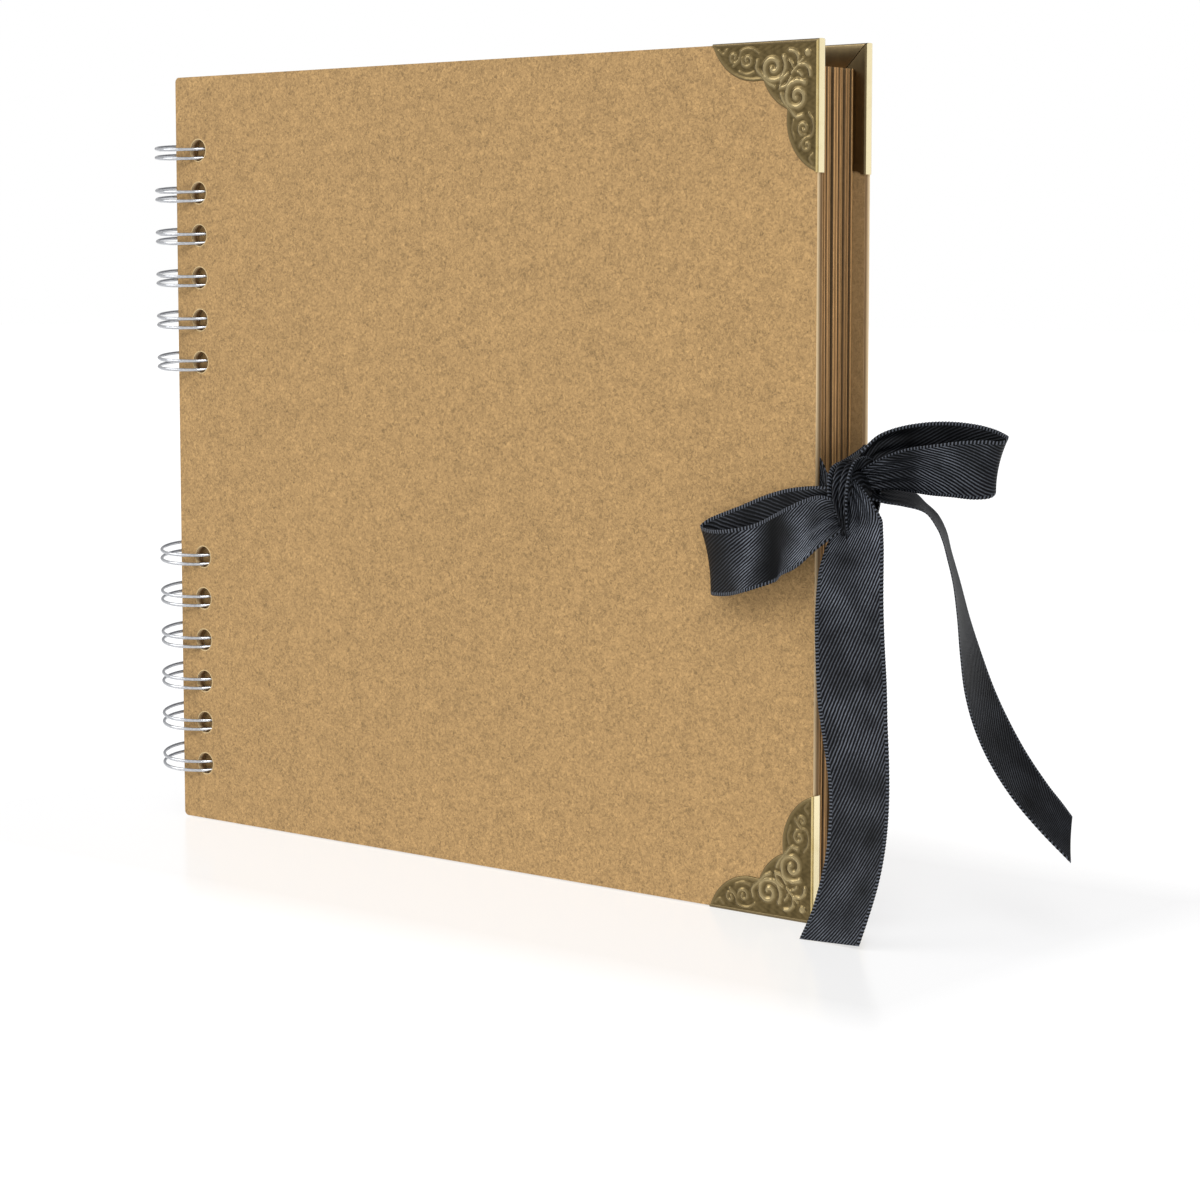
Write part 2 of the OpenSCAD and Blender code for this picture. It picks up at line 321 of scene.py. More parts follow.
def make(name, points, faces, material, smooth=True, **attributes):
    """An object from points in millimetres. Attributes are one number or three numbers for each point."""
    mesh = bpy.data.meshes.new(name)
    mesh.from_pydata((np.asarray(points, float) * MM).tolist(), [], [list(map(int, f)) for f in faces])
    mesh.validate()
    for key, values in attributes.items():
        values = np.asarray(values, np.float32)
        kind = "FLOAT" if values.ndim == 1 else "FLOAT_VECTOR"
        attribute = mesh.attributes.new(key, kind, "POINT")
        attribute.data.foreach_set("value" if values.ndim == 1 else "vector", values.ravel())
    mesh.polygons.foreach_set("use_smooth", [smooth] * len(mesh.polygons))
    mesh.materials.append(material)
    thing = bpy.data.objects.new(name, mesh)
    scene.collection.objects.link(thing)
    return thing


def grid_faces(rows, columns, first=0, close_rows=False, close_columns=False, flip=False):
    """Quads of a grid whose point (i, j) has the number first + i * columns + j."""
    i = np.arange(rows if close_rows else rows - 1)
    j = np.arange(columns if close_columns else columns - 1)
    i, j = (x.ravel() for x in np.meshgrid(i, j, indexing="ij"))
    i2, j2 = (i + 1) % rows, (j + 1) % columns
    quads = np.stack([i * columns + j, i2 * columns + j, i2 * columns + j2, i * columns + j2], 1) + first
    return quads[:, ::-1] if flip else quads


def outward(thing):
    """Turns every face of a closed mesh outward."""
    bm = bmesh.new()
    bm.from_mesh(thing.data)
    bmesh.ops.recalc_face_normals(bm, faces=bm.faces)
    bm.to_mesh(thing.data)
    bm.free()
    return thing


def sampled(stations, at):
    """A smooth curve through the stations (one row each), at the given parameters from 0 to 1."""
    p = np.asarray(stations, float)
    gaps = np.linalg.norm(np.diff(p[:, :3], axis=0), axis=1)
    t = np.concatenate([[0], np.cumsum(np.maximum(gaps, 1e-6))])
    t /= t[-1]
    slope = np.empty_like(p)
    slope[1:-1] = (p[2:] - p[:-2]) / (t[2:] - t[:-2])[:, None]
    slope[0] = (p[1] - p[0]) / (t[1] - t[0])
    slope[-1] = (p[-1] - p[-2]) / (t[-1] - t[-2])
    k = np.clip(np.searchsorted(t, at, side="right") - 1, 0, len(t) - 2)
    h = (t[k + 1] - t[k])[:, None]
    u = ((at - t[k]) / h[:, 0])[:, None]
    return ((2 * u**3 - 3 * u**2 + 1) * p[k] + (u**3 - 2 * u**2 + u) * h * slope[k]
            + (3 * u**2 - 2 * u**3) * p[k + 1] + (u**3 - u**2) * h * slope[k + 1])


def unit(v):
    return v / np.maximum(np.linalg.norm(v, axis=-1, keepdims=True), 1e-9)


def tube(path, radius, sides):
    """Points and faces of a round tube along a path."""
    p = np.asarray(path, float)
    tangent = unit(np.gradient(p, axis=0))
    across = np.zeros_like(p)
    seed = np.array([0.0, 0.0, 1.0]) if abs(tangent[0][2]) < 0.9 else np.array([1.0, 0, 0])
    a = seed - tangent[0] * (seed @ tangent[0])
    for i in range(len(p)):
        a = a - tangent[i] * (a @ tangent[i])
        a /= np.linalg.norm(a)
        across[i] = a
    other = np.cross(tangent, across)
    turn = np.linspace(0, 2 * np.pi, sides, endpoint=False)
    rings = p[:, None] + radius * (across[:, None] * np.cos(turn)[None, :, None]
                                   + other[:, None] * np.sin(turn)[None, :, None])
    points = rings.reshape(-1, 3)
    faces = [tuple(f) for f in grid_faces(len(p), sides, close_columns=True)]
    faces += [tuple(range(sides)), tuple(range(len(points) - sides, len(points)))]
    return points, faces


def joined(parts):
    """One set of points and faces from several."""
    points, faces, start = [], [], 0
    for p, f in parts:
        points.append(p)
        faces += [tuple(np.array(q) + start) for q in f]
        start += len(p)
    return np.concatenate(points), faces


# ------------------------------------------------------------------ covers: carried-over nodes and hole rims

NODE_MATERIALS = {"front_cover_facing": cover_paper, "back_cover_facing": cover_paper,
                  "front_cover_lining": lining_paper_painted_shade, "back_cover_lining": lining_paper_painted_shade,
                  "front_cover_core": front_board, "back_cover_core": back_board}
for node, material in NODE_MATERIALS.items():
    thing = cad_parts[node]
    thing.data.materials.clear()
    thing.data.materials.append(material)


def hole_rims(name, y, side, body):
    """The lip that a punch leaves round each hole of a cover's outer face. Its paler paper is a painted
    highlight of the light that the punched bevel catches.
    """
    profile = [(HOLE_R - 0.02, -0.15), (HOLE_R - 0.02, 0.03), (HOLE_R + 0.06, 0.07), (HOLE_R + 0.16, 0.06),
               (HOLE_R + 0.26, 0.02), (HOLE_R + 0.32, -0.05)]
    turn = np.linspace(0, 2 * np.pi, 48, endpoint=False)
    parts = []
    for base in GROUPS.values():
        for k in range(HOLES):
            ring = np.array([[(HOLE_X + r * np.cos(a), y + side * h, base + k * HOLE_PITCH + r * np.sin(a))
                              for r, h in profile] for a in turn])
            faces = grid_faces(48, len(profile), close_rows=True, close_columns=True)
            parts.append((ring.reshape(-1, 3), faces))
    rims = outward(make(name, *joined(parts), rim_paper_painted_highlight))
    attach(rims, body)


hole_rims("front_hole_rims", FRONT_Y, -1, "front_cover")
hole_rims("back_hole_rims", BACK_Y, 1, "back_cover")


# ------------------------------------------------------------------ leaves, slightly fanned at the fore-edge


def leaf_template():
    """The first leaf's mesh cut into strips, so that it can bend."""
    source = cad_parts[LEAF_NAMES[0]].data
    bm = bmesh.new()
    bm.from_mesh(source)
    bmesh.ops.remove_doubles(bm, verts=bm.verts, dist=1e-6)
    cuts = [((x, 0, 0), (1, 0, 0)) for x in np.arange(-0.09, 0.1145, 0.012)]
    cuts += [((0, 0, z), (0, 0, 1)) for z in np.arange(0.02, 0.215, 0.013)]
    for place, way in cuts:
        everything = bm.verts[:] + bm.edges[:] + bm.faces[:]
        bmesh.ops.bisect_plane(bm, geom=everything, plane_co=place, plane_no=way)
    bm.verts.ensure_lookup_table()
    points = np.array([v.co for v in bm.verts]) / MM
    faces = [[v.index for v in f.verts] for f in bm.faces]
    bm.free()
    return points, faces


def build_leaves():
    points, faces = leaf_template()
    rng = np.random.default_rng(11)
    count = len(LEAF_NAMES)
    lows = np.array([box_mm(n)[0][1] for n in LEAF_NAMES])
    thickness = box_mm(LEAF_NAMES[0])[1][1] - lows[0]
    room = box_mm("back_cover_lining")[0][1] - lining_high[1] - count * thickness - 0.5
    # Open gaps come after every few leaves; the others almost touch
    gap = np.full(count - 1, 0.012)
    wide_after = [2, 8, 13, 19, 25, 30, 36]
    sizes = np.array([0.8, 1.2, 0.8, 1.2, 0.9, 1.3, 0.8])
    gap[wide_after] += sizes * (room - gap.sum()) / sizes.sum()
    phase = rng.uniform(0, 6.28, count - 1)
    # A leaf is flat as far as flat_to and leans more and more from there to its fore-edge
    flat_to = -98
    fade = np.clip((points[:, 0] - flat_to) / (FORE_X - 5 - flat_to), 0, 1) ** 1.3
    # The edges of a clump run from a shaded leaf to one that catches the light
    clump_painted_light = [0.25, 0.75, 1.6, 0.75, 0.95, 1.5, 1.9]
    tones = []
    place = 2
    for i in range(count):
        place = 0 if (i - 1) in wide_after else min(place + 1, 5)
        tones.append(rng.uniform(0.85, 1.15) * (clump_painted_light[-1] if i in wide_after else clump_painted_light[place]))
    for i, node in enumerate(LEAF_NAMES):
        wave = gap[None, :] * (1 + 0.45 * np.sin(points[:, 2:3] / 47 + phase[None, :]) * (gap > 0.1)[None, :])
        wave *= gap.sum() / wave.sum(1, keepdims=True)
        fanned = lining_high[1] + 0.25 + i * thickness + wave[:, :i].sum(1)
        shift = (fanned - lows[i]) * fade
        moved = points.copy()
        moved[:, 1] += lows[i] - lows[0] + shift
        # A leaf's edges are never cut quite in line
        moved[:, 0] += np.where(points[:, 0] > 113, rng.uniform(-0.35, 0.0), 0)
        # Each leaf carries a random tone times the painted shade and light of its place in a clump
        leaf = make(node + "_paper", moved, faces, leaf_paper, False, tone=np.full(len(points), tones[i]))
        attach(leaf, node)
        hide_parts(node)


build_leaves()


# ------------------------------------------------------------------ twin-loop wires


# How far a loop rises out of level on its way round, as (degrees, millimetres): it sits low in the front hole
# and climbs behind the spine, as far as the leaves' holes let it when the album is open
LOOP_RISE = [(94, 0.4), (128, 0.4), (143, 0.75), (156, 0.95), (170, 0.85), (190, 0.5), (212, 0.0),
             (236, -0.6), (262, -1.0), (290, -1.05), (313, -0.95), (360, 0.0), (407, 0.8), (443, 1.0)]


def build_wire(node, base_z):
    """One bent length of wire: a narrow loop of two strands through each hole, joined by straight runs."""
    loop_r, gap, wire_r, end_run = 14.5, 2.7, 0.5, 2.6
    first, last = math.radians(94), math.radians(360 + 83)
    path = []
    rise_at, rise = np.radians([a for a, _ in LOOP_RISE]), [h for _, h in LOOP_RISE]

    def on_loop(angle, z):
        x, y = loop_r * math.cos(angle), loop_r * math.sin(angle)
        ease = np.interp([angle - 0.25, angle - 0.12, angle, angle + 0.12, angle + 0.25], rise_at, rise)
        return (WIRE_X + x, MID_Y + y, z + float(ease @ (0.15, 0.22, 0.26, 0.22, 0.15)))

    root = on_loop(first, 0)
    path.append((root[0], root[1], base_z - gap / 2 - end_run + root[2]))
    angles = np.linspace(first, last, 76)
    for k in range(HOLES):
        z = base_z + k * HOLE_PITCH
        path.append(tuple(np.array(on_loop(first, z - gap / 2)) - (0, 0, 0.5)))
        path += [on_loop(a, z - gap / 2) for a in angles[1:]]
        for t in np.linspace(-80, 80, 9):
            t = math.radians(t)
            path.append(on_loop(last + 1.25 * math.cos(t) / loop_r, z + gap / 2 * math.sin(t)))
        path += [on_loop(a, z + gap / 2) for a in angles[:0:-1]]
        straight = (0.5, 2.5, 5.0, 7.5) if k < HOLES - 1 else (0.5,)
        path += [tuple(np.array(on_loop(first, z + gap / 2)) + (0, 0, h)) for h in straight]
    path.append((root[0], root[1], base_z + (HOLES - 1) * HOLE_PITCH + gap / 2 + end_run + root[2]))
    wire = outward(make(node + "_metal", *tube(path, wire_r, 14), bright_wire))
    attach(wire, "back_cover")
    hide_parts(node)


for node, z in GROUPS.items():
    build_wire(node, z)


# ------------------------------------------------------------------ corner caps

CAP_T = 0.4
FLAP_W = 7.5
# The plate's outline: a disc on each leg and one across the diagonal, as (centre, radius)
LOBE = (19.7, -4.4), 14.0
HEART = (5.0, 5.0), 12.7


# Points on a plate are (along one leg, along the other), in millimetres from the corner


def spiral(centre, start_r, end_r, start_deg, turns, count=70):
    t = np.linspace(0, 1, count)
    r = start_r + (end_r - start_r) * t
    a = np.radians(start_deg) + 2 * np.pi * turns * t
    return np.stack([centre[0] + r * np.cos(a), centre[1] + r * np.sin(a)], 1)


def curve2(points, count=40):
    p = np.c_[np.asarray(points, float), np.zeros(len(points))]
    return sampled(p, np.linspace(0, 1, count))[:, :2]


def scrolls():
    """The raised lines of the plate's generic scrollwork: (points, half width, height)."""
    half = [
        (spiral((13.8, 6.3), 4.1, 0.6, 215, -1.5), 0.74, 0.46),
        (curve2([(18.7, 4.6), (19.0, 6.4), (17.6, 7.9), (15.2, 10.2), (13.2, 11.2)]), 0.60, 0.36),
        (curve2([(8.6, 2.2), (7.0, 2.6), (5.9, 3.9), (6.0, 5.6)]), 0.60, 0.42),
        (curve2([(8.6, 4.8), (7.9, 5.6), (7.4, 6.8)]), 0.52, 0.36),
        (curve2([(9.2, 8.2), (11.0, 9.6), (11.6, 11.6)]), 0.58, 0.38),
        (spiral((21.9, 4.2), 1.9, 0.4, -20, 1.15, 40), 0.50, 0.32),
        (spiral((26.2, 3.3), 1.6, 0.4, 170, -1.10, 40), 0.46, 0.30),
        (curve2([(18.2, 2.6), (19.8, 1.5), (22.0, 1.2), (23.9, 2.0), (24.5, 4.0), (26.4, 5.5)]), 0.38, 0.28),
        (curve2([(28.4, 1.3), (29.6, 2.4), (31.0, 1.4)]), 0.34, 0.22),
        (curve2([(19.9, 7.3), (22.0, 7.8), (24.4, 7.0)]), 0.38, 0.24),
    ]
    both = half + [(p[:, ::-1], w, h) for p, w, h in half]
    return both + [(curve2([(4.6, 4.6), (6.3, 6.3), (8.0, 8.0)]), 0.46, 0.36)]


def line_distance(points, line):
    best = np.full(len(points), 1e9)
    for a, b in zip(line[:-1], line[1:]):
        d = b - a
        t = np.clip(((points - a) @ d) / max(d @ d, 1e-9), 0, 1)
        best = np.minimum(best, np.linalg.norm(points - a - t[:, None] * d, axis=1))
    return best


def plate_relief(p, edge):
    """Height above the cover's face at the points p, with edge the distance from the plate's free edge."""
    ground = 0.13
    height = np.full(len(p), ground)
    for line, width, top in scrolls():
        away = line_distance(p, line)
        height = np.maximum(height, ground + top * np.exp(-((away / width) ** 2) * 1.1))
        height -= 0.09 * np.exp(-(((away - 1.8 * width) / (0.6 * width)) ** 2))
    boss = np.linalg.norm(p - (3.0, 3.0), axis=1)
    height = np.maximum(height, ground + 0.42 * np.sqrt(np.clip(1 - (boss / 1.15) ** 2, 0, 1)))
    height -= 0.06 * np.exp(-(((boss - 1.5) / 0.3) ** 2))
    rim = ground + 0.22 * np.exp(-(((edge - 0.45) / 0.38) ** 2))
    height = np.maximum(height, np.where(edge < 1.6, rim, 0))
    fold = np.minimum(p[:, 0], p[:, 1])
    height = np.maximum(height, ground + 0.14 * np.clip(1 - fold / 0.5, 0, 1))
    height += 0.020 * np.sin(p[:, 0] * 2.3 + 1.7 * np.sin(p[:, 1] * 1.9)) * np.sin(p[:, 1] * 2.6 + 1.2)
    return np.where(edge < 0.18, height * np.clip(edge / 0.18, 0, 1) ** 0.5, height)


def plate_mesh():
    """The embossed plate over a corner: points (along, away, height) and faces."""
    turns, steps = 190, 130
    # The outline is the farthest that any of the discs reaches along each spoke from the corner. More spokes
    # lie towards the two legs, where the plate is long
    even = np.linspace(0, 1, turns)
    theta = (np.pi / 2) * np.clip(even - 0.06 * np.sin(2 * np.pi * even), 0, 1)
    ray = np.stack([np.cos(theta), np.sin(theta)], 1)
    reach = np.zeros(turns)
    for (centre, radius), way in ((LOBE, ray), (LOBE, ray[:, ::-1]), (HEART, ray)):
        along = way @ centre
        inside = along**2 - np.dot(centre, centre) + radius**2
        reach = np.maximum(reach, np.where(inside > 0, along + np.sqrt(np.maximum(inside, 0)), 0))
    kernel = np.array([1, 2, 3, 2, 1]) / 9
    reach = np.convolve(np.pad(reach, 2, "edge"), kernel, "valid")
    s = np.linspace(0.004, 1, steps) ** 0.9
    r = s[:, None] * reach[None, :]
    p = np.stack([r * np.cos(theta), r * np.sin(theta)], 2).reshape(-1, 2)
    rim_line = np.stack([reach * np.cos(theta), reach * np.sin(theta)], 1)
    edge = line_distance(p, rim_line)
    edge.reshape(steps, turns)[-1] = 0
    height = plate_relief(p, edge)
    top = np.c_[p, height]
    under = np.c_[p, np.full(len(p), 0.01)]
    faces = [grid_faces(steps, turns), grid_faces(steps, turns, len(p), flip=True)]
    # The grid's border, in order, closes the plate between its top and its underside
    loop = np.concatenate([np.arange(turns), turns * np.arange(1, steps) + turns - 1,
                           (steps - 1) * turns + np.arange(turns - 2, -1, -1),
                           turns * np.arange(steps - 2, 0, -1)])
    nxt = np.roll(loop, -1)
    faces.append(np.stack([loop, nxt, nxt + len(p), loop + len(p)], 1))
    relief = np.clip((height - 0.07) / 0.42, 0, 1)
    return np.concatenate([top, under]), np.concatenate(faces), np.concatenate([relief, relief * 0])


def fold_profile(flap):
    """Cross-section of the folded brass round a cover's edge: (distance in from the edge, depth)."""
    top, low, out, r = -CAP_T, COVER_T + CAP_T, -CAP_T, 0.55
    arc = [(out + r - r * math.cos(a), top + r - r * math.sin(a)) for a in np.radians([90, 70, 50, 30, 12])]
    arc2 = [(out + r - r * math.cos(a), low - r + r * math.sin(a)) for a in np.radians([12, 30, 50, 70, 90])]
    outer = [(0.42, top + 0.10), (0.26, top + 0.02)] + arc
    outer += [(out - 0.05, y) for y in (0.75, 1.2, 1.65)] + arc2
    outer += [(0.9, low), (max(flap - 0.25, 1.0), low), (max(flap, 1.1), low - 0.14)]
    inner = [(max(flap, 1.1), low - 0.36), (0.6, low - 0.38), (0.06, low - 0.42), (0.06, 0.0), (0.42, -0.02)]
    return np.array(outer + inner)


def fold_mesh():
    """The folded edge of one leg, from the mitre at the corner to the tip: points (along, away, depth), faces
    and each point's depth."""
    # (distance along the leg, width of the flap)
    stations = [(0.0, FLAP_W)] + [(t, FLAP_W) for t in np.linspace(8.5, 28.5, 14)]
    stations += [(30.0, FLAP_W), (31.0, FLAP_W - 1.0), (32.0, FLAP_W - 2.0)]
    stations += [(32.2, 2.4), (32.6, 1.2), (33.0, 1.1)]
    rings, depths = [], []
    for k, (t, flap) in enumerate(stations):
        prof = fold_profile(flap)
        along = np.full(len(prof), t)
        if k == 0:
            seam = np.where(prof[:, 1] > COVER_T - 0.2, 0.16, 0.0)
            along = prof[:, 0] + seam
        rings.append(np.c_[along, prof[:, 0], prof[:, 1]])
        depths.append(prof[:, 1])
    n = len(rings[0])
    points = np.concatenate(rings)
    faces = [tuple(f) for f in grid_faces(len(rings), n, close_columns=True)]
    faces += [tuple(range(n)), tuple(range(len(points) - n, len(points)))]
    return points, faces, np.concatenate(depths)


def build_caps():
    plate_points, plate_faces, plate_shade = plate_mesh()
    fold_points, fold_faces, depth = fold_mesh()
    # Painted light and shade on a fold's front strip, edge and inner flap, on the level leg and then on the
    # upright one: a painted highlight on the edge, painted shade on the flaps and on the level leg's strip
    fold_painted_light = [np.where(np.abs(depth - COVER_T / 2) < 1.2, edge, np.where(depth > 2, flap, strip))
              for strip, edge, flap in ((0.10, 0.75, 0.24), (0.66, 1.0, 0.14))]
    for cover, outer_y, way in (("front", FRONT_Y, 1), ("back", BACK_Y, -1)):
        for end, corner_z, up in (("bottom", 0.0, 1), ("top", COVER_H, -1)):
            node = f"{cover}_{end}_corner"

            def placed(p, swap=False):
                along, away, depth = (p[:, 1], p[:, 0], p[:, 2]) if swap else (p[:, 0], p[:, 1], p[:, 2])
                return np.c_[FORE_X - along, outer_y + way * depth, corner_z + up * away]

            flat = plate_points * (1, 1, -1)
            plate = outward(make(node + "_plate", placed(flat), plate_faces, plate_brass, relief=plate_shade))
            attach(plate, cover + "_cover")
            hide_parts(node)
            parts = [(placed(fold_points, swap), fold_faces) for swap in (False, True)]
            # The fold's relief attribute carries its painted light and shade
            fold = outward(make(node + "_fold", *joined(parts), fold_brass, relief=np.concatenate(fold_painted_light)))
            fold.data.set_sharp_from_angle(angle=math.radians(35))
            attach(fold, cover + "_cover")
            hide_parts(node)


build_caps()


# ------------------------------------------------------------------ ribbon


def ribbon(name, rows, painted_sheen, body, nodes, pleats=4, lift=1.0, swell=0.0, gather=1.0):
    """A strip of satin between two edges. rows holds, for each station, a point on each edge, and
    painted_sheen how strongly a sheen is painted into the cloth's colour there. Where the edges are closer
    than the ribbon is wide, the width is taken up in pleats, made deeper by gather. swell bows the strip
    between its edges, and lift is its outer side."""
    a, b = (np.array([r[k] for r in rows], float) for k in (0, 1))
    middle = (a + b) / 2
    run = np.linalg.norm(np.diff(middle, axis=0), axis=1).sum()
    count = max(12, int(run / 0.3))
    painted_gleam = np.broadcast_to(np.asarray(painted_sheen, float), len(rows))[:, None]
    both = np.concatenate([middle, a, b, painted_gleam], 1)
    at = np.linspace(0, 1, count)
    s = sampled(both, at)
    middle, a, b, painted_gleam = s[:, :3], s[:, 3:6], s[:, 6:9], np.maximum(s[:, 9], 0)
    along = np.concatenate([[0], np.cumsum(np.linalg.norm(np.diff(middle, axis=0), axis=1))])
    tangent = unit(np.gradient(middle, axis=0))
    span = b - a
    width = np.linalg.norm(span, axis=1)
    normal = unit(np.cross(tangent, span)) * lift
    columns = 45
    v = np.linspace(0, 1, columns)
    v = v - 0.010 * np.sin(2 * np.pi * v)
    slack = np.clip(np.sqrt(np.clip(RIBBON_W / np.maximum(width, 2.5) - 0.9, 0, None)) - 0.42, 0, None)
    height = np.clip(gather * slack * width / (np.pi * pleats), 0, 1.3)
    drift = 0.9 * np.sin(along / 9.0)
    wave = np.sin(2 * np.pi * pleats * v[None, :] + drift[:, None]) * height[:, None]
    wave += np.sin(2 * np.pi * (pleats * 0.5 + 0.3) * v[None, :] + 1.3) * height[:, None] * 0.35
    bow = swell * 4 * v * (1 - v)
    surface = a[:, None] + span[:, None] * v[None, :, None]
    surface = surface + normal[:, None] * (wave + bow[None, :])[:, :, None]
    # The stitches scallop both edges
    side = unit(span)
    scallop = 0.20 * np.abs(np.sin(np.pi * along / 0.9))
    surface[:, 0] -= side * scallop[:, None]
    surface[:, -1] += side * scallop[:, None]
    du = np.gradient(surface, axis=0)
    dv = np.gradient(surface, axis=1)
    n = unit(np.cross(du, dv)) * lift
    half = np.full(columns, 0.15)
    half[[0, -1]] = 0.09
    outer = surface + n * half[None, :, None]
    inner = surface - n * half[None, :, None]
    points = np.concatenate([outer.reshape(-1, 3), inner.reshape(-1, 3)])
    total = count * columns
    faces = [grid_faces(count, columns), grid_faces(count, columns, total, flip=True)]
    i = np.arange(count - 1) * columns
    j = np.arange(columns - 1)
    end = (count - 1) * columns
    faces.append(np.stack([i, i + columns, i + columns + total, i + total], 1))
    far = i + columns - 1
    faces.append(np.stack([far, far + total, far + columns + total, far + columns], 1))
    faces.append(np.stack([j, j + total, j + 1 + total, j + 1], 1))
    faces.append(np.stack([end + j, end + j + 1, end + j + 1 + total, end + j + total], 1))
    weave = np.stack(np.broadcast_arrays(along[:, None], v[None, :] * RIBBON_W, painted_gleam[:, None]), 2)
    weave = np.tile(weave.reshape(-1, 3), (2, 1))
    strip = outward(make(name, points, np.concatenate(faces), black_satin, weave=weave))
    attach(strip, body)
    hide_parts(*nodes)


# The runs of the ribbon: for each station, the point on its upper or outer edge and the one across from it
LEFT_LOOP = [
    ((130.0, -27.0, 109.0), (131.5, -26.5, 104.0)),
    ((131.0, -29.6, 108.8), (132.4, -29.4, 103.6)),
    ((129.6, -31.8, 110.6), (130.4, -32.0, 101.4)),
    ((126.6, -32.8, 111.4), (126.6, -33.8, 98.2)),
    ((122.5, -33.0, 110.4), (121.2, -34.8, 93.4)),
    ((117.0, -33.2, 108.0), (115.5, -33.6, 90.9)),
    ((112.5, -32.6, 105.9), (110.8, -29.8, 88.6)),
    ((107.5, -31.2, 103.8), (106.4, -31.6, 86.8)),
    ((103.0, -31.0, 102.3), (102.8, -32.2, 85.6)),
    ((97.5, -31.9, 101.2), (98.0, -30.6, 84.4)),
    ((92.5, -31.2, 100.7), (93.6, -28.9, 83.7)),
    ((88.0, -29.4, 100.8), (89.4, -27.3, 83.4)),
    ((85.3, -27.4, 101.3), (87.3, -25.3, 83.6)),
    ((86.5, -25.8, 102.9), (88.5, -23.9, 84.0)),
    ((91.0, -25.3, 104.8), (93.5, -23.6, 85.6)),
    ((97.0, -25.2, 107.0), (99.5, -23.5, 88.2)),
    ((103.5, -25.2, 109.6), (105.5, -23.5, 91.2)),
    ((110.5, -25.4, 111.7), (112.5, -23.6, 94.0)),
    ((117.5, -25.6, 112.8), (119.0, -24.0, 97.0)),
    ((122.5, -25.4, 113.0), (123.5, -24.6, 101.5)),
    ((127.5, -24.5, 112.0), (127.5, -24.2, 105.0)),
]
RIGHT_LOOP = [
    ((129.0, -20.5, 116.0), (128.0, -19.0, 110.5)),
    ((132.2, -20.3, 118.0), (130.0, -16.8, 111.8)),
    ((136.8, -20.3, 120.4), (134.4, -13.8, 112.2)),
    ((144.2, -20.8, 123.0), (140.2, -12.5, 111.8)),
    ((152.0, -21.5, 124.4), (146.2, -12.5, 111.4)),
    ((160.0, -21.0, 125.6), (152.2, -12.0, 111.2)),
    ((166.7, -19.4, 126.0), (158.2, -11.5, 110.9)),
    ((169.8, -17.2, 125.8), (162.0, -10.0, 111.3)),
    ((170.4, -15.4, 126.8), (162.6, -8.3, 112.3)),
    ((168.8, -14.2, 127.4), (161.0, -6.8, 113.0)),
    ((164.8, -13.0, 128.5), (157.4, -5.3, 113.4)),
    ((159.0, -12.0, 129.4), (153.0, -4.4, 113.7)),
    ((151.5, -11.6, 129.8), (146.4, -4.0, 113.9)),
    ((143.2, -11.6, 129.3), (139.4, -4.6, 114.2)),
    ((135.2, -12.2, 127.8), (132.6, -6.6, 114.8)),
    ((130.4, -13.6, 125.6), (129.2, -10.0, 115.6)),
    ((127.6, -17.0, 121.5), (127.6, -15.0, 115.5)),
]
LEFT_TAIL = [
    ((130.5, -24.5, 116.0), (128.5, -26.5, 114.5)),
    ((132.6, -25.4, 114.8), (129.6, -27.4, 111.6)),
    ((135.6, -25.9, 112.2), (130.8, -28.4, 108.0)),
    ((138.2, -26.0, 109.0), (130.6, -29.0, 104.4)),
    ((140.2, -26.0, 106.4), (128.6, -29.6, 101.4)),
    ((140.7, -25.9, 105.2), (127.2, -29.9, 99.4)),
    ((140.8, -25.8, 103.2), (126.2, -30.0, 97.0)),
    ((140.9, -25.5, 98.4), (124.6, -29.9, 92.0)),
    ((140.6, -25.0, 86.0), (123.0, -29.0, 81.0)),
    ((140.7, -24.5, 75.5), (122.8, -28.5, 72.0)),
    ((141.5, -24.5, 64.0), (123.5, -28.5, 60.0)),
    ((142.5, -25.5, 55.0), (124.5, -28.0, 51.5)),
    ((144.0, -27.0, 46.5), (125.5, -27.5, 44.5)),
    ((145.2, -28.5, 38.0), (127.0, -28.0, 36.5)),
    ((146.2, -30.5, 30.3), (128.4, -30.0, 29.0)),
    ((146.6, -32.5, 23.2), (128.8, -32.0, 20.5)),
    ((146.2, -34.5, 15.8), (128.4, -34.0, 13.5)),
    ((145.0, -36.5, 8.4), (127.2, -36.0, 6.2)),
    ((143.3, -38.5, 0.6), (125.2, -38.0, -0.3)),
]
RIGHT_TAIL = [
    ((126.5, -15.0, 114.0), (127.5, -21.0, 110.5)),
    ((127.5, -8.5, 113.0), (132.0, -20.0, 110.4)),
    ((130.8, -5.0, 112.0), (137.0, -19.2, 109.4)),
    ((135.2, -3.5, 111.2), (142.5, -18.9, 108.8)),
    ((139.1, -3.3, 108.4), (149.0, -18.8, 107.4)),
    ((142.6, -3.1, 105.6), (152.6, -18.9, 103.6)),
    ((144.9, -2.8, 101.6), (154.3, -19.1, 100.6)),
    ((146.4, -2.7, 96.6), (155.5, -19.3, 97.6)),
    ((149.1, -2.6, 88.8), (157.6, -19.4, 90.4)),
    ((151.8, -2.3, 80.0), (159.0, -19.6, 82.4)),
    ((155.2, -2.0, 71.0), (160.3, -20.0, 72.8)),
    ((158.9, -1.7, 62.3), (161.9, -20.2, 63.6)),
    ((163.2, -1.5, 54.5), (164.8, -20.3, 55.2)),
    ((168.5, -1.5, 46.8), (169.2, -20.4, 47.4)),
    ((174.7, -1.6, 39.6), (175.8, -20.2, 39.0)),
    ((179.2, -2.2, 35.6), (183.2, -19.6, 31.8)),
    ((182.9, -3.4, 32.7), (191.4, -18.6, 24.8)),
]
